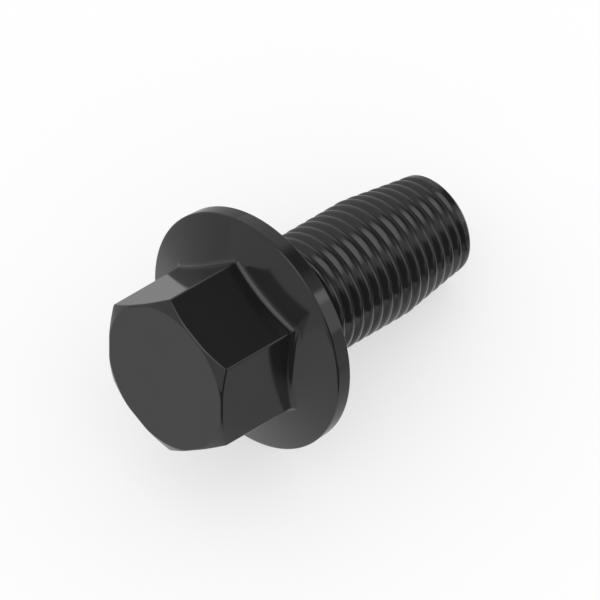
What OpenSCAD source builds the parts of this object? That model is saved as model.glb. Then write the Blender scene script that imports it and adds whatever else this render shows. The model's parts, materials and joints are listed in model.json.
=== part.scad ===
// Self-tapping flange screw, one solid piece of coated steel.
// A chamfered hexagon head stands on a conical flange. Below the flange a short plain neck
// leads into a fine right-hand thread, which runs on down a tapered, blunt tip.
// The screw lies on its side: the rim of the flange and the edge of the tip touch the ground.
// The origin is the centre of the bearing face, and +X runs along the shank towards the tip.

/* [Head] */
// Width of the hexagon across its flats
across_flats = 14.85; // [14:0.05:15.5]
// Height of the head, from the bearing face to the flat top
head_height = 12.45; // [10:0.05:14]
// Diameter of the flat circle on top of the head
top_circle_d = 14.72; // [13:0.02:14.8]
// Slope of the chamfer round the top, measured from the flat top
chamfer_angle = 30; // [15:1:40]
// Rounding of the hexagon's six upright edges
corner_round = 0.25; // [0.1:0.05:0.6]
// Rounding between the flat top and the chamfer
top_round = 0.3; // [0.1:0.05:0.6]
// Radius of the fillet between the hexagon and the flange
foot_fillet = 0.7; // [0.4:0.05:1]

/* [Flange] */
// Diameter of the flange at the upper edge of its rim
flange_d = 24.1; // [21:0.1:27]
// Height of the rim
rim_height = 1.73; // [1.2:0.01:2.4]
// Angle by which the rim draws in towards the bearing face
rim_draft = 3.6; // [0:0.2:8]
// Slope of the flange's upper face, from the plane of the bearing face
flange_slope = 20; // [15:1:30]
// Rounding of the rim's two edges
rim_round = 0.2; // [0.05:0.05:0.5]

/* [Shank] */
// Length of the shank, from the bearing face to the end face
shank_length = 22.95; // [18:0.05:40]
// Diameter of the plain neck below the head
neck_d = 11.45; // [10.6:0.05:12]
// Length of the plain neck, its fillet included
neck_length = 2.2; // [1.6:0.1:5]
// Radius of the fillet between the neck and the bearing face
neck_fillet = 0.6; // [0.2:0.1:1]

/* [Thread] */
// Outer diameter of the thread
thread_d = 12.13; // [11.8:0.01:12.4]
// Distance from one turn of the thread to the next
pitch = 1.25; // [1.2:0.05:1.75]
// Depth of the thread, from crest to root
thread_depth = 0.34; // [0.3:0.01:0.36]
// Angle between the two flanks of a turn
flank_angle = 98; // [80:1:101]
// Width of the flat on the crest
crest_flat = 0.4; // [0.3:0.01:0.44]
// Length over which the thread rises out of the neck
run_in = 1.25; // [0.6:0.05:2.5]
// Turn of the thread about the screw's axis
thread_turn = -49; // [-180:1:180]

/* [Tip] */
// Length of the tapered tip, up to the end face
tip_length = 8.15; // [5:0.05:11]
// Slope of the tip's side from the screw's axis
taper_angle = 8.2; // [4:0.1:10]
// Length of the plain land between the last turn and the end chamfer
land_length = 0.5; // [0.4:0.05:1]
// Width of the chamfer round the end face
end_chamfer = 0.35; // [0.2:0.05:0.5]
// Length over which the thread dies away above the land
run_out = 0.9; // [0.5:0.05:2.5]

/* [As it lies] */
// Turn of the head about the screw's axis
head_turn = 13; // [0:0.2:60]

/* [Hidden] */
$fn = 96;

flange_r = flange_d / 2;
rim_lower_r = flange_r - rim_height * tan(rim_draft);
neck_r = neck_d / 2;
thread_r = thread_d / 2;
top_circle_r = top_circle_d / 2;
corner_r = across_flats / 2 / cos(30);

// The cone of the flange and the foot of the hexagon end inside each other
cone_inner_r = across_flats / 4;
cone_top = rim_height + (flange_r - cone_inner_r) * tan(flange_slope);
hexagon_foot = rim_height / 2;
// The cone of the chamfer runs on this far past the hexagon's corners
chamfer_reach = 1;

// Distances along the shank are measured from the bearing face towards the end
taper_start = shank_length - tip_length;
land_end = shank_length - end_chamfer;
land_start = land_end - land_length;

// Width of a flank and of the root along the axis
flank_width = thread_depth * tan(flank_angle / 2);
root_flat = pitch - crest_flat - 2 * flank_width;
// Places of a turn's four edges along the axis, and whether each is on the crest
edge_places = [0, crest_flat, crest_flat + flank_width, crest_flat + flank_width + root_flat];
edge_on_crest = [1, 1, 0, 0];
edges_per_turn = len(edge_places);

// The two ends of the threaded piece lie this far inside the neck and the land
sunk = 0.03;
// The thread ends where its last turn is sunk in the land
thread_end = land_start + sunk;
// It starts at least one turn above the neck's lower end, and holds a whole number of turns
turns = ceil((thread_end - neck_length) / pitch) + 2;
thread_start = thread_end - turns * pitch;
// The part of the thread beyond its end is drawn together by this factor, to stay in the land
end_squeeze = 0.4;
// Number of flat strips in one turn
strips = 40;

// The screw lies on the rounded lower edge of its rim and on the lower edge of its land
land_edge_r = crest_radius(land_end);
rim_touch_r = rim_lower_r - rim_round;
touch_distance = norm([rim_touch_r - land_edge_r, rim_round + land_end]);
lie_angle = atan2(rim_touch_r - land_edge_r, rim_round + land_end)
    + asin(rim_round / touch_distance);

// Straight steps in each rounded edge of a profile
round_steps = 6;
// Steps of the foot fillet round each corner and along each side of the hexagon
fillet_corner_steps = 4;
fillet_side_steps = 8;
// The hidden edge of the foot fillet lies this far inside the hexagon
fillet_inset = 0.35;

// A direction of length one
function unit(v) = v / norm(v);

// A rounded corner at p between its neighbours, as points on an arc
function round_corner(before, p, after, radius) =
    let (
        to_before = unit(before - p),
        to_after = unit(after - p),
        half = acos(to_before * to_after) / 2,
        centre = p + unit(to_before + to_after) * radius / sin(half),
        first = p + to_before * radius / tan(half) - centre,
        last = p + to_after * radius / tan(half) - centre,
        sweep = 180 - 2 * half
    )
    [
        for (i = [0 : round_steps])
            centre + (sin(sweep * (1 - i / round_steps)) * first
                + sin(sweep * i / round_steps) * last) / sin(sweep)
    ];

// An outline with each corner rounded by its own radius, or left sharp where that is 0
function rounded(points, radii) =
    let (n = len(points))
    [
        for (i = [0 : n - 1])
            for (p = radii[i] == 0
                ? [points[i]]
                : round_corner(points[(i + n - 1) % n], points[i], points[(i + 1) % n], radii[i]))
                p
    ];

// A smooth step from 0 to 1
function ease(t) = let (u = min(1, max(0, t))) u * u * (3 - 2 * u);

// A value between two others
function blend(from, to, share) = from + (to - from) * share;

// Centre of the rounding of one of the hexagon's corners
function corner_centre(corner) =
    (across_flats / 2 - corner_round) / cos(30) * [cos(60 * corner), sin(60 * corner)];

// Section of the foot fillet where the hexagon's outline faces the given angle. It touches the
// side and the cone, and its ends are sunk in them. The last point is its hidden edge.
function fillet_section(base, facing_angle) =
    let (
        facing = [cos(facing_angle), sin(facing_angle)],
        plan = base + facing * (corner_round + foot_fillet),
        height = rim_height + (flange_r - norm(plan)) * tan(flange_slope)
            + foot_fillet / cos(flange_slope),
        centre = [plan[0], plan[1], height],
        to_side = [-facing[0], -facing[1], 0],
        to_cone = [
            -plan[0] / norm(plan) * sin(flange_slope),
            -plan[1] / norm(plan) * sin(flange_slope),
            -cos(flange_slope)
        ],
        sweep = acos(to_side * to_cone),
        arc = [
            for (i = [0 : round_steps])
                let (reach = foot_fillet + (i == 0 || i == round_steps ? sunk : 0))
                    centre + (sin(sweep * (1 - i / round_steps)) * to_side
                        + sin(sweep * i / round_steps) * to_cone) * reach / sin(sweep)
        ],
        side_point = centre + to_side * (foot_fillet + fillet_inset)
    )
    concat(arc, [[side_point[0], side_point[1], arc[round_steps][2]]]);

// Radius of the thread's crest: even along the shank, then falling along the tip
function crest_radius(along) =
    thread_r - max(0, along - taper_start) * tan(taper_angle);

// Radius of an edge of the thread, which rises out of the neck and dies away into the land
function edge_radius(along, on_crest) =
    let (
        full = crest_radius(along) - (1 - on_crest) * thread_depth,
        out_of_neck = blend(neck_r - sunk, full, ease((along - neck_length) / run_in)),
        into_land = blend(
            crest_radius(along) - sunk,
            out_of_neck,
            ease((land_start - along) / run_out)
        )
    )
    into_land - max(0, along - thread_end);

// A place along the shank, drawn together beyond the end of the thread
function drawn_in(along) = min(along, thread_end) + max(0, along - thread_end) * end_squeeze;

// A point of the thread's surface: the given edge, counted from the top, in the given strip
function thread_point(edge, strip) =
    let (
        turn = floor(edge / edges_per_turn) + strip / strips,
        kind = edge % edges_per_turn,
        along = drawn_in(thread_start + turn * pitch + edge_places[kind]),
        radius = edge_radius(along, edge_on_crest[kind]),
        angle = thread_turn - 360 * strip / strips
    )
    [radius * cos(angle), radius * sin(angle), -along];

// The hexagon with its chamfered and rounded upper end
module hexagon_head() {
    hexagon = [for (i = [0 : 5]) corner_r * [cos(60 * i), sin(60 * i)]];
    chamfer_r = corner_r + chamfer_reach;
    chamfer_foot = head_height - (chamfer_r - top_circle_r) * tan(chamfer_angle);
    intersection() {
        translate([0, 0, hexagon_foot])
            linear_extrude(height = head_height - hexagon_foot)
                polygon(rounded(hexagon, [for (i = [0 : 5]) corner_round]));
        rotate_extrude()
            polygon(rounded(
                [
                    [0, 0],
                    [chamfer_r, 0],
                    [chamfer_r, chamfer_foot],
                    [top_circle_r, head_height],
                    [0, head_height]
                ],
                [0, 0, 0, top_round, 0]
            ));
    }
}

// The fillet round the foot of the hexagon, as a ring of narrow strips
module head_fillet() {
    sections = [
        for (corner = [0 : 5])
            each concat(
                [
                    for (i = [0 : fillet_corner_steps])
                        fillet_section(
                            corner_centre(corner),
                            60 * corner - 30 + 60 * i / fillet_corner_steps
                        )
                ],
                [
                    for (i = [1 : fillet_side_steps - 1])
                        fillet_section(
                            blend(
                                corner_centre(corner),
                                corner_centre(corner + 1),
                                i / fillet_side_steps
                            ),
                            60 * corner + 30
                        )
                ]
            )
    ];
    count = len(sections);
    size = len(sections[0]);
    polyhedron(
        points = [for (section = sections) each section],
        faces = [
            for (i = [0 : count - 1])
                for (k = [0 : size - 1])
                    let (
                        here = i * size,
                        next = (i + 1) % count * size,
                        below = (k + 1) % size
                    )
                    each [
                        [here + k, next + k, next + below],
                        [here + k, next + below, here + below]
                    ]
        ]
    );
}

// The flange with its bearing face, and the plain neck with its fillet, as one turned shape
module flange_and_neck() {
    rotate_extrude()
        polygon(rounded(
            [
                [0, -neck_length],
                [neck_r, -neck_length],
                [neck_r, 0],
                [rim_lower_r, 0],
                [flange_r, rim_height],
                [cone_inner_r, cone_top],
                [0, cone_top]
            ],
            [0, 0, neck_fillet, rim_round, rim_round, 0, 0]
        ));
}

// The threaded length, as one skin wound round the axis and closed at both ends
module thread() {
    last = turns * edges_per_turn;
    rows = last + 1;
    strip_points = [
        for (strip = [0 : strips - 1])
            for (edge = [0 : last])
                thread_point(edge, strip)
    ];
    upper_centre = len(strip_points);
    lower_centre = upper_centre + 1;
    centres = [[0, 0, -thread_start - pitch / 2], [0, 0, -thread_end]];
    // Within a turn each strip meets the next one edge for edge
    inner_faces = [
        for (strip = [0 : strips - 2])
            for (edge = [0 : last - 1])
                let (here = strip * rows + edge, next = here + rows)
                    each [[here, here + 1, next + 1], [here, next + 1, next]]
    ];
    // The last strip meets the first one turn further on
    seam = (strips - 1) * rows;
    seam_faces = [
        for (edge = [0 : last - edges_per_turn - 1])
            let (here = seam + edge, next = edge + edges_per_turn)
                each [[here, here + 1, next + 1], [here, next + 1, next]]
    ];
    upper_rim = concat(
        [for (strip = [0 : strips - 1]) strip * rows],
        [for (edge = [edges_per_turn : -1 : 1]) edge]
    );
    lower_rim = concat(
        [for (strip = [0 : strips - 1]) strip * rows + last],
        [for (edge = [last - 1 : -1 : last - edges_per_turn]) seam + edge]
    );
    upper_faces = [
        for (i = [0 : len(upper_rim) - 1])
            [upper_centre, upper_rim[i], upper_rim[(i + 1) % len(upper_rim)]]
    ];
    lower_faces = [
        for (i = [0 : len(lower_rim) - 1])
            [lower_centre, lower_rim[(i + 1) % len(lower_rim)], lower_rim[i]]
    ];
    polyhedron(
        points = concat(strip_points, centres),
        faces = concat(inner_faces, seam_faces, upper_faces, lower_faces)
    );
}

// The plain land and the chamfered end face
module blunt_end() {
    rotate_extrude()
        polygon([
            [0, -land_start],
            [crest_radius(land_start), -land_start],
            [land_edge_r, -land_end],
            [land_edge_r - end_chamfer, -shank_length],
            [0, -shank_length]
        ]);
}

module screw() {
    color([0.10, 0.10, 0.11])
        rotate([0, lie_angle - 90, 0])
            rotate([0, 0, head_turn])
                union() {
                    hexagon_head();
                    head_fillet();
                    flange_and_neck();
                    thread();
                    blunt_end();
                }
}

screw();
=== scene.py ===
import json
import math

import bmesh
import bpy
import numpy as np
from mathutils import Matrix, Vector


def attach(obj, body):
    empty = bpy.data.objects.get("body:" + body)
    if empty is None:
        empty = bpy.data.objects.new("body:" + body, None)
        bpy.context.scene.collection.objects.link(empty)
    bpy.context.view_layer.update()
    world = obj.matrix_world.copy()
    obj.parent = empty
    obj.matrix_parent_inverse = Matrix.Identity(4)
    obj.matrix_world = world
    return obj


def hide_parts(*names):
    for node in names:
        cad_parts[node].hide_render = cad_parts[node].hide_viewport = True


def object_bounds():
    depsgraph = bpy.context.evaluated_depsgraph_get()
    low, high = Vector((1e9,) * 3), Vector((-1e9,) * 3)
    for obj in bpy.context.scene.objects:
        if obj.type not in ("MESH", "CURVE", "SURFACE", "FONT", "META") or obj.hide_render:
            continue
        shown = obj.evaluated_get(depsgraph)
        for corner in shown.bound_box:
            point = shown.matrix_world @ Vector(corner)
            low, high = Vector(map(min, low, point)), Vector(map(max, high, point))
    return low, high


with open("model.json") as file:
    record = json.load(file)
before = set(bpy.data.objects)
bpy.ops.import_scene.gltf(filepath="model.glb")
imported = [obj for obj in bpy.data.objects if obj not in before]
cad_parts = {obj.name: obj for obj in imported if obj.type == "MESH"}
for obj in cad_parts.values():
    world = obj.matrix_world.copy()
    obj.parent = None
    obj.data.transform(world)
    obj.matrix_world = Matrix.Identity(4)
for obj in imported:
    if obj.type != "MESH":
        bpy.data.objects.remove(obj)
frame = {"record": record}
cad_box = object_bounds()
floor_height = cad_box[0][2]

# Sizes follow the part's source, in metres and degrees. The thread dies away over a shorter length
# here, and the edges of the chamfer, the thread and the end face have their own rounding
MM = 0.001

# Head
ACROSS_FLATS = 14.85 * MM
HEAD_HEIGHT = 12.45 * MM
TOP_CIRCLE_R = 7.36 * MM
CHAMFER_DEG = 30
CORNER_ROUND = 0.25 * MM
EDGE_ROUND = 0.25 * MM
FOOT_FILLET = 0.7 * MM
HEAD_TURN_DEG = 13
SIDES = 6
SIDE_DEG = 360 / SIDES
HALF_SIDE_DEG = SIDE_DEG / 2

# Flange
FLANGE_R = 12.05 * MM
RIM_HEIGHT = 1.73 * MM
RIM_DRAFT_DEG = 3.6
FLANGE_SLOPE_DEG = 20
RIM_ROUND = 0.2 * MM

# Neck and shank. Distances along the shank run from the bearing face to the end
SHANK_LENGTH = 22.95 * MM
NECK_R = 5.725 * MM
NECK_LENGTH = 2.2 * MM
NECK_FILLET = 0.6 * MM

# Thread
THREAD_R = 6.065 * MM
PITCH = 1.25 * MM
THREAD_DEPTH = 0.34 * MM
FLANK_DEG = 98
CREST_FLAT = 0.4 * MM
CREST_ROUND = 0.53 * MM
ROOT_ROUND = 0.08 * MM
RUN_IN = 1.25 * MM
RUN_OUT = 0.45 * MM
THREAD_TURN_DEG = -49

# Tip
TIP_LENGTH = 8.15 * MM
TAPER_DEG = 8.2
LAND_LENGTH = 0.5 * MM
END_CHAMFER = 0.35 * MM
END_ROUND = 0.1 * MM

# The skin is a grid of columns round the axis and rows along it
COLUMNS = 192
COLUMNS_PER_SIDE = COLUMNS // SIDES
ARC_STEPS = 7
THREAD_ARC_STEPS = 5
CONE_ROWS = 8
MERGE_DISTANCE = 0.002 * MM
# Spacing of the columns at the hexagon's corners, as a share of even spacing
CORNER_SPACING = 0.14

# Coating. The noise scales are in cells per metre
COATING_IOR = 1.5
DARKER_BLACK = (0.0095, 0.0095, 0.0100, 1)
LIGHTER_BLACK = (0.0125, 0.0125, 0.0130, 1)
LOW_ROUGHNESS = 0.07
HIGH_ROUGHNESS = 0.11
CLOUD_SCALE = 260.0
CLOUD_DETAIL = 4.0
CLOUD_ROUGHNESS = 0.55
CLOUD_LOW = 0.3
CLOUD_HIGH = 0.7
GRAIN_SCALE = 5200.0
GRAIN_DETAIL = 3.0
GRAIN_STRENGTH = 0.05
GRAIN_HEIGHT = 0.02 * MM

# The photograph's camera: parallel, along the diagonal between the shank and two cross axes.
# The directions from the screw to the camera and up its picture are in the screw's own frame
IMAGE_PX = 600
PIXELS_PER_METRE = 10.8 / MM
BEARING_CENTRE_PX = (259.74, 323.29)
CAMERA_BACK = (1, -1, 1)
CAMERA_UP = (2, 1, -1)
CAMERA_DISTANCE = 0.4
CLIP_END = 10 * CAMERA_DISTANCE

# Brightness that gloss sees in the room and on the floor, where plain white is 1
ROOM_IN_GLOSS = 0.77
# Painted shade: in reflections the white floor glows only this brightly
PAINTED_FLOOR_SHADE_IN_GLOSS = 0.55
# Painted light and shade on the floor, seen only in reflections, in lighter and darker areas: where
# each fades in along x and along y, and strength
PAINTED_FLOOR_LIGHT_AND_SHADE_AREAS = [
    ((16 * MM, 10 * MM), (20 * MM, 28 * MM), 0.66),
    ((1 * MM, -11 * MM), (33 * MM, 22 * MM), 0.81),
    ((1 * MM, -11 * MM), (4 * MM, -8 * MM), 0.95),
    ((24 * MM, 12 * MM), (-30 * MM, -42 * MM), 0.08),
]
# Painted light and shade in round spots on the floor beside the thread, seen only in reflections:
# middle, radii of the even part and of the soft edge, and strength
PAINTED_FLOOR_LIGHT_AND_SHADE_SPOTS = [
    ((15 * MM, -9 * MM), 6 * MM, 12 * MM, 0.85),
    ((26 * MM, -23 * MM), 8 * MM, 13 * MM, 0.06),
]
# Soft lamps and dark flags in the room, in gloss, later ones in front of earlier ones: direction in
# the screw's own frame, half-angles of the even middle and of the soft edge, and strength
PATCHES = [
    ((0.70, -0.20, 0.69), 12, 26, 2.1),
    ((0.93, -0.25, 0.22), 6, 16, 1.6),
    ((-0.10, -0.80, 0.56), 16, 30, 0.06),
    ((0.04, -0.97, -0.06), 17, 29, 0.06),
    ((0.30, -0.70, -0.65), 16, 19, 1.17),
    ((0.46, -0.58, -0.67), 2, 6, 2.1),
    ((0.58, -0.46, -0.67), 3, 8, 0.45),
    ((0.93, -0.29, -0.22), 8, 14, 0.05),
    ((0.99, 0.00, -0.18), 8, 16, 0.05),
    ((0.78, -0.60, -0.15), 8, 16, 0.05),
    ((0.84, -0.25, -0.47), 11, 16, 0.12),
    ((0.72, -0.17, -0.67), 4, 18, 0.12),
    ((0.56, -0.13, -0.82), 9, 14, 0.05),
    ((0.42, 0.00, -0.89), 12, 24, 0.05),
]
# Share of the object's shadow on the floor that fill light takes away
SHADOW_FILL = 0.58
FLOOR_SIZE = 3.0
WHITE = (1, 1, 1, 1)


def tan(degrees):
    return math.tan(math.radians(degrees))


def cos(degrees):
    return math.cos(math.radians(degrees))


def sin(degrees):
    return math.sin(math.radians(degrees))


def unit(degrees):
    """The direction at this angle from the first axis towards the second."""
    return np.array([cos(degrees), sin(degrees)])


def ease(t):
    """A smooth step from 0 to 1."""
    t = np.clip(t, 0, 1)
    return t * t * (3 - 2 * t)


def arc(centre, radius, start_deg, end_deg, steps=ARC_STEPS):
    """Points along an arc, in a plane of distance from the axis and height."""
    turns = np.linspace(start_deg, end_deg, steps + 1)
    return [np.array(centre) + radius * unit(turn) for turn in turns]


def rounded_corner(before, corner, after, radius, steps=ARC_STEPS):
    """Points on an arc that rounds the corner between two straight parts of a section."""
    before, corner, after = (np.array(p, float) for p in (before, corner, after))
    back = (before - corner) / np.linalg.norm(before - corner)
    on = (after - corner) / np.linalg.norm(after - corner)
    half = math.acos(back @ on) / 2
    middle = (back + on) / np.linalg.norm(back + on)
    centre = corner + middle * radius / math.sin(half)
    first = corner + back * radius / math.tan(half) - centre
    last = corner + on * radius / math.tan(half) - centre
    sweep = math.pi - 2 * half
    return [
        centre + (math.sin(sweep * (1 - t)) * first + math.sin(sweep * t) * last) / math.sin(sweep)
        for t in np.linspace(0, 1, steps + 1)
    ]


def around(radius, height, angles_deg):
    """Points from distances to the axis, heights and angles, as rows by columns."""
    angles = np.radians(angles_deg)
    x = radius * np.cos(angles)
    y = radius * np.sin(angles)
    return np.stack(np.broadcast_arrays(x, y, height), -1)


def turned_rows(section, angles_deg):
    """Rows of a turned shape: the same section in every column."""
    section = np.array(section)
    return around(section[:, :1], section[:, 1:], angles_deg[None, :])


def even_angles():
    """The columns' angles, in degrees. They fall from column to column, because a right-hand
    thread winds that way down the shank."""
    return -360 * np.arange(COLUMNS) / COLUMNS


def gathered_angles():
    """The same columns drawn towards the hexagon's corners, where its rounded edges need them."""
    step = np.arange(COLUMNS) % COLUMNS_PER_SIDE / COLUMNS_PER_SIDE * SIDE_DEG
    from_corner = np.where(step > HALF_SIDE_DEG, step - SIDE_DEG, step)
    share = from_corner / HALF_SIDE_DEG
    drawn = HALF_SIDE_DEG * (CORNER_SPACING * share + (1 - CORNER_SPACING) * share**3)
    return even_angles() + from_corner - drawn


def hexagon_radius(angle_deg):
    """Distance from the axis to the hexagon's side, with its upright edges rounded."""
    from_corner = abs((angle_deg + HALF_SIDE_DEG) % SIDE_DEG - HALF_SIDE_DEG)
    centre = (ACROSS_FLATS / 2 - CORNER_ROUND) / cos(HALF_SIDE_DEG)
    touch = centre * np.array([1, 0]) + CORNER_ROUND * unit(HALF_SIDE_DEG)
    if from_corner > math.degrees(math.atan2(touch[1], touch[0])):
        return ACROSS_FLATS / 2 / cos(HALF_SIDE_DEG - from_corner)
    across = centre * sin(from_corner)
    return centre * cos(from_corner) + math.sqrt(CORNER_ROUND**2 - across**2)


def head_section(side_r):
    """One column of the hexagon: the flat top, the chamfer, the side and the fillet at its foot."""
    chamfer_normal = 90 - CHAMFER_DEG
    chamfer_foot = HEAD_HEIGHT - (side_r - TOP_CIRCLE_R) * tan(CHAMFER_DEG)
    lower = [side_r - EDGE_ROUND, chamfer_foot - EDGE_ROUND * tan(chamfer_normal / 2)]
    upper = [TOP_CIRCLE_R - EDGE_ROUND * tan(CHAMFER_DEG / 2), HEAD_HEIGHT - EDGE_ROUND]
    # Where the chamfer is too short for two roundings, as at the middle of a side, one does
    if upper[0] > lower[0]:
        upper = lower = [side_r - EDGE_ROUND, HEAD_HEIGHT - EDGE_ROUND]
    cone_height = RIM_HEIGHT + (FLANGE_R - side_r) * tan(FLANGE_SLOPE_DEG)
    foot = [side_r + FOOT_FILLET, cone_height + FOOT_FILLET * tan((90 - FLANGE_SLOPE_DEG) / 2)]
    return (
        arc(upper, EDGE_ROUND, 90, chamfer_normal, ARC_STEPS // 2)
        + arc(lower, EDGE_ROUND, chamfer_normal, 0)
        + arc(foot, FOOT_FILLET, 180, 270 - FLANGE_SLOPE_DEG)
    )


def flange_section():
    """The flange's rounded rim, the bearing face and the fillet that leads into the neck."""
    on_cone = [0, RIM_HEIGHT + FLANGE_R * tan(FLANGE_SLOPE_DEG)]
    rim_top = [FLANGE_R, RIM_HEIGHT]
    rim_foot = [FLANGE_R - RIM_HEIGHT * tan(RIM_DRAFT_DEG), 0]
    neck_top = [NECK_R, 0]
    neck_end = [NECK_R, -NECK_LENGTH]
    return (
        rounded_corner(on_cone, rim_top, rim_foot, RIM_ROUND)
        + rounded_corner(rim_top, rim_foot, neck_top, RIM_ROUND)
        + rounded_corner(rim_foot, neck_top, neck_end, NECK_FILLET)
    )


def head_rows():
    """The hexagon's rows, each column with its own section, then the cone down to the flange's rim.
    Down the cone the columns spread from the hexagon's corners to even spacing."""
    gathered, even = gathered_angles(), even_angles()
    sections = np.array([head_section(hexagon_radius(angle)) for angle in gathered])
    hexagon = around(sections[:, :, 0].T, sections[:, :, 1].T, gathered[None, :])
    foot = sections[:, -1]
    rim_r, rim_height = flange_section()[0]
    shares = np.linspace(0, 1, CONE_ROWS + 1)[1:-1, None]
    radius = foot[:, 0] + (rim_r - foot[:, 0]) * shares
    height = foot[:, 1] + (rim_height - foot[:, 1]) * shares
    cone = around(radius, height, gathered + (even - gathered) * ease(shares))
    return np.concatenate([hexagon, cone])


def crest_radius(along):
    """Radius of the thread's crest: even along the shank, then falling along the tip."""
    return THREAD_R - np.maximum(0, along - (SHANK_LENGTH - TIP_LENGTH)) * tan(TAPER_DEG)


def land_start():
    return SHANK_LENGTH - END_CHAMFER - LAND_LENGTH


def thread_section():
    """One turn of the thread in section: places along the axis, and depths below the crest."""
    flank = THREAD_DEPTH * tan(FLANK_DEG / 2)
    places = np.array([0, CREST_FLAT, CREST_FLAT + flank, PITCH - flank])
    depths = [0, 0, THREAD_DEPTH, THREAD_DEPTH]
    rounding = [CREST_ROUND, CREST_ROUND, ROOT_ROUND, ROOT_ROUND]
    before = [places[-1] - PITCH, *places[:-1]]
    after = [*places[1:], places[0] + PITCH]
    points = []
    for i, radius in enumerate(rounding):
        points += rounded_corner(
            [before[i], depths[i - 1]],
            [places[i], depths[i]],
            [after[i], depths[(i + 1) % len(depths)]],
            radius,
            THREAD_ARC_STEPS,
        )
    return np.array(points)


def thread_radius(along, depth):
    """Radius of a point of the thread, which rises out of the neck and dies away into the land."""
    crest = crest_radius(along)
    rise = ease((along - NECK_LENGTH) / RUN_IN)
    out_of_neck = NECK_R + (crest - depth - NECK_R) * rise
    stay = ease((land_start() - along) / RUN_OUT)
    return crest + (out_of_neck - crest) * stay


def thread_grid():
    """The thread's rows, wound so that each row of the last column meets the first column one turn
    on, and how many rows a turn has. Rows that would lie above the neck's end or below the land's
    start are drawn onto those circles."""
    section = thread_section()
    top, bottom = NECK_LENGTH, land_start()
    crest_at_end = bottom + PITCH * THREAD_TURN_DEG / 360
    first = crest_at_end - PITCH * (math.ceil((crest_at_end - top) / PITCH) + 1)
    turns = math.ceil((bottom - first) / PITCH) + 1
    rows = [turn * PITCH + place for turn in range(turns) for place in section[:, 0]]
    depths = np.tile(section[:, 1], turns)
    winding = PITCH * np.arange(COLUMNS) / COLUMNS
    along = np.clip(first + np.array(rows)[:, None] + winding[None, :], top, bottom)
    radius = thread_radius(along, depths[:, None])
    return around(radius, -along, even_angles()), len(section)


def end_section():
    """The plain land, the chamfer and the rim of the end face."""
    land_end = SHANK_LENGTH - END_CHAMFER
    land_top = [crest_radius(land_start()), -land_start()]
    land_edge = [crest_radius(land_end), -land_end]
    end_edge = [land_edge[0] - END_CHAMFER, -SHANK_LENGTH]
    return (
        rounded_corner(land_top, land_edge, end_edge, END_ROUND)
        + rounded_corner(land_edge, end_edge, [0, -SHANK_LENGTH], END_ROUND)
    )


def side_faces(row_count, wound, rows_per_turn):
    """The faces between neighbouring rows and columns. In the wound rows the last column meets the
    first column one turn on."""
    faces = []
    for row in range(row_count - 1):
        shift = rows_per_turn if row in wound else 0
        for column in range(COLUMNS):
            following = (column + 1) % COLUMNS
            step = shift if following == 0 else 0
            if step and row + 1 + step > wound.stop:
                continue
            here = row * COLUMNS + column
            beside = (row + step) * COLUMNS + following
            faces.append((here, here + COLUMNS, beside + COLUMNS, beside))
    return faces


def screw_mesh():
    """The whole screw as one closed skin, in its own frame: head up, bearing face at height 0."""
    even = even_angles()
    head = head_rows()
    flange = turned_rows(flange_section(), even)
    thread, rows_per_turn = thread_grid()
    end = turned_rows(end_section(), even)
    rows = np.concatenate([head, flange, thread, end])
    thread_start = len(head) + len(flange)
    wound = range(thread_start, thread_start + len(thread) - 1)
    points = rows.reshape(-1, 3)
    top_face = range(COLUMNS)
    end_face = range(len(points) - COLUMNS, len(points))
    faces = side_faces(len(rows), wound, rows_per_turn)
    faces += [tuple(reversed(top_face)), tuple(end_face)]
    return points, faces


def lie_down():
    """Turns the screw from its own frame to the frame it lies in, by the axis of its thread."""
    mounts = {mount["name"]: mount for mount in frame["record"]["mounts"]}
    down_shank = Vector(mounts["thread"]["axis"])
    lie_angle = math.asin(-down_shank.z)
    tip_over = Matrix.Rotation(lie_angle - math.pi / 2, 4, "Y")
    return tip_over @ Matrix.Rotation(math.radians(HEAD_TURN_DEG), 4, "Z")


def make_screw(material, lie):
    points, faces = screw_mesh()
    mesh = bpy.data.meshes.new("screw_body")
    mesh.from_pydata(points.tolist(), [], faces)
    skin = bmesh.new()
    skin.from_mesh(mesh)
    bmesh.ops.remove_doubles(skin, verts=skin.verts, dist=MERGE_DISTANCE)
    bmesh.ops.recalc_face_normals(skin, faces=skin.faces)
    skin.to_mesh(mesh)
    skin.free()
    mesh.transform(lie)
    mesh.shade_smooth()
    mesh.materials.append(material)
    piece = bpy.data.objects.new("screw_body", mesh)
    bpy.context.scene.collection.objects.link(piece)
    piece.modifiers.new("even_shading", "WEIGHTED_NORMAL")
    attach(piece, "root")
    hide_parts("screw")


def new_material(name):
    material = bpy.data.materials.new(name)
    material.use_nodes = True
    material.node_tree.nodes.clear()
    return material, material.node_tree.nodes, material.node_tree.links


def feed(links, socket, value):
    """Sets a node's input to a number, or links it to another node's output."""
    if isinstance(value, (int, float)):
        socket.default_value = value
    else:
        links.new(value, socket)


def number_node(nodes, links, operation, first, second):
    """A maths node between two values, each a number or a socket."""
    node = nodes.new("ShaderNodeMath")
    node.operation = operation
    feed(links, node.inputs[0], first)
    feed(links, node.inputs[1], second)
    return node.outputs["Value"]


def blend_node(nodes, links, share, first, second):
    """A value that goes from the first to the second as the share goes from 0 to 1."""
    node = nodes.new("ShaderNodeMix")
    node.data_type = "FLOAT"
    feed(links, node.inputs["Factor"], share)
    feed(links, node.inputs["A"], first)
    feed(links, node.inputs["B"], second)
    return node.outputs["Result"]


def fade_node(nodes, links, value, start, end):
    """A smooth step from 0 to 1 as the value goes from start to end."""
    node = nodes.new("ShaderNodeMapRange")
    node.interpolation_type = "SMOOTHSTEP"
    node.inputs["From Min"].default_value = start
    node.inputs["From Max"].default_value = end
    links.new(value, node.inputs["Value"])
    return node.outputs["Result"]


def vector_node(nodes, links, operation, place, vector):
    """A measure between a place or direction in the scene and a fixed vector."""
    node = nodes.new("ShaderNodeVectorMath")
    node.operation = operation
    links.new(place, node.inputs[0])
    node.inputs[1].default_value = vector
    return node.outputs["Value"]


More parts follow.
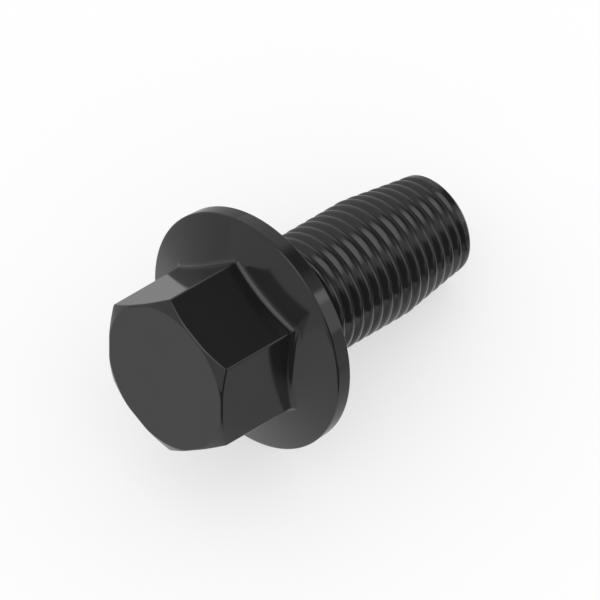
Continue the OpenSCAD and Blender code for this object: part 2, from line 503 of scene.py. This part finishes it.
def noise_node(nodes, links, place, scale, detail):
    node = nodes.new("ShaderNodeTexNoise")
    node.inputs["Scale"].default_value = scale
    node.inputs["Detail"].default_value = detail
    links.new(place, node.inputs["Vector"])
    return node


def in_reflections(nodes, links):
    """A socket that is 1 for rays that come off or through a glossy surface, 0 for the others."""
    rays = nodes.new("ShaderNodeLightPath").outputs
    glossy, through = rays["Is Glossy Ray"], rays["Is Transmission Ray"]
    return number_node(nodes, links, "MAXIMUM", glossy, through)


def black_coating():
    """A smooth black coating, with a fine grain and faint clouds in its gloss and shade."""
    material, nodes, links = new_material("black_coating")
    output = nodes.new("ShaderNodeOutputMaterial")
    shader = nodes.new("ShaderNodeBsdfPrincipled")
    shader.inputs["Metallic"].default_value = 0.0
    shader.inputs["IOR"].default_value = COATING_IOR
    links.new(shader.outputs["BSDF"], output.inputs["Surface"])

    place = nodes.new("ShaderNodeTexCoord").outputs["Object"]
    clouds = noise_node(nodes, links, place, CLOUD_SCALE, CLOUD_DETAIL)
    clouds.inputs["Roughness"].default_value = CLOUD_ROUGHNESS
    grain = noise_node(nodes, links, place, GRAIN_SCALE, GRAIN_DETAIL)

    shade = nodes.new("ShaderNodeMix")
    shade.data_type = "RGBA"
    shade.inputs["A"].default_value = DARKER_BLACK
    shade.inputs["B"].default_value = LIGHTER_BLACK
    links.new(clouds.outputs["Fac"], shade.inputs["Factor"])
    links.new(shade.outputs["Result"], shader.inputs["Base Color"])

    gloss = nodes.new("ShaderNodeMapRange")
    gloss.inputs["From Min"].default_value = CLOUD_LOW
    gloss.inputs["From Max"].default_value = CLOUD_HIGH
    gloss.inputs["To Min"].default_value = LOW_ROUGHNESS
    gloss.inputs["To Max"].default_value = HIGH_ROUGHNESS
    links.new(clouds.outputs["Fac"], gloss.inputs["Value"])
    links.new(gloss.outputs["Result"], shader.inputs["Roughness"])

    bump = nodes.new("ShaderNodeBump")
    bump.inputs["Strength"].default_value = GRAIN_STRENGTH
    bump.inputs["Distance"].default_value = GRAIN_HEIGHT
    links.new(grain.outputs["Fac"], bump.inputs["Height"])
    links.new(bump.outputs["Normal"], shader.inputs["Normal"])
    return material


def painted_floor_light_in_gloss(nodes, links):
    """The floor's painted brightness in gloss: painted shade as its base, with painted light and
    shade in areas and spots, seen only in reflections.
    """
    position = nodes.new("ShaderNodeNewGeometry").outputs["Position"]
    place = nodes.new("ShaderNodeSeparateXYZ")
    links.new(position, place.inputs["Vector"])
    # Painted shade as the base, then painted light and shade in areas and spots of the floor
    strength = PAINTED_FLOOR_SHADE_IN_GLOSS
    for along_x, along_y, painted_area_strength in PAINTED_FLOOR_LIGHT_AND_SHADE_AREAS:
        in_x = fade_node(nodes, links, place.outputs["X"], *along_x)
        in_y = fade_node(nodes, links, place.outputs["Y"], *along_y)
        share = number_node(nodes, links, "MULTIPLY", in_x, in_y)
        strength = blend_node(nodes, links, share, strength, painted_area_strength)
    for middle, inner, outer, painted_spot_strength in PAINTED_FLOOR_LIGHT_AND_SHADE_SPOTS:
        distance = vector_node(nodes, links, "DISTANCE", position, (*middle, floor_height))
        share = fade_node(nodes, links, distance, outer, inner)
        strength = blend_node(nodes, links, share, strength, painted_spot_strength)
    return strength


def floor_material():
    """White paper with the object's shadow, more than half of it filled in. Gloss sees the floor
    without the shadow, glowing with painted light and shade instead."""
    material, nodes, links = new_material("white_floor")
    output = nodes.new("ShaderNodeOutputMaterial")
    paper = nodes.new("ShaderNodeBsdfDiffuse")
    paper.inputs["Color"].default_value = WHITE
    white = nodes.new("ShaderNodeEmission")
    mix = nodes.new("ShaderNodeMixShader")
    gloss = in_reflections(nodes, links)
    # In reflections the floor glows with its painted light and shade instead of plain white
    strength = blend_node(nodes, links, gloss, 1.0, painted_floor_light_in_gloss(nodes, links))
    links.new(strength, white.inputs["Strength"])
    links.new(number_node(nodes, links, "MAXIMUM", gloss, SHADOW_FILL), mix.inputs["Fac"])
    links.new(paper.outputs["BSDF"], mix.inputs[1])
    links.new(white.outputs["Emission"], mix.inputs[2])
    links.new(mix.outputs["Shader"], output.inputs["Surface"])
    return material


def make_floor():
    bpy.ops.mesh.primitive_plane_add(size=FLOOR_SIZE, location=(0, 0, floor_height))
    floor = bpy.context.object
    floor.name = "floor"
    floor.data.materials.append(floor_material())


def room_in_gloss(nodes, links, lie):
    """The room's brightness in gloss, with its soft lamps and dark flags."""
    towards = nodes.new("ShaderNodeTexCoord").outputs["Generated"]
    strength = ROOM_IN_GLOSS
    for centre, inner_deg, outer_deg, patch_strength in PATCHES:
        direction = (lie @ Vector(centre)).normalized()
        nearness = vector_node(nodes, links, "DOT_PRODUCT", towards, direction)
        share = fade_node(nodes, links, nearness, cos(outer_deg), cos(inner_deg))
        strength = blend_node(nodes, links, share, strength, patch_strength)
    return strength


def make_world(lie):
    """Even white light from all round. Gloss sees the lamps and flags in it."""
    world = bpy.data.worlds.new("studio")
    bpy.context.scene.world = world
    world.use_nodes = True
    nodes, links = world.node_tree.nodes, world.node_tree.links
    background = nodes["Background"]
    background.inputs["Color"].default_value = WHITE
    gloss = in_reflections(nodes, links)
    strength = blend_node(nodes, links, gloss, 1.0, room_in_gloss(nodes, links, lie))
    links.new(strength, background.inputs["Strength"])


def make_camera(lie):
    """Looks along the photograph's diagonal, with the bearing face's centre at its pixel there."""
    back = (lie @ Vector(CAMERA_BACK)).normalized()
    up = (lie @ Vector(CAMERA_UP)).normalized()
    right = up.cross(back)
    offset_right = (IMAGE_PX / 2 - BEARING_CENTRE_PX[0]) / PIXELS_PER_METRE
    offset_up = (BEARING_CENTRE_PX[1] - IMAGE_PX / 2) / PIXELS_PER_METRE
    place = right * offset_right + up * offset_up + back * CAMERA_DISTANCE
    data = bpy.data.cameras.new("camera")
    data.type = "ORTHO"
    data.ortho_scale = IMAGE_PX / PIXELS_PER_METRE
    data.clip_end = CLIP_END
    camera = bpy.data.objects.new("camera", data)
    bpy.context.scene.collection.objects.link(camera)
    axes = Matrix((right, up, back)).transposed().to_4x4()
    camera.matrix_world = Matrix.Translation(place) @ axes
    bpy.context.scene.camera = camera


lie = lie_down()
make_camera(lie)
make_screw(black_coating(), lie)
make_floor()
make_world(lie)
bpy.context.scene.view_settings.view_transform = "Standard"
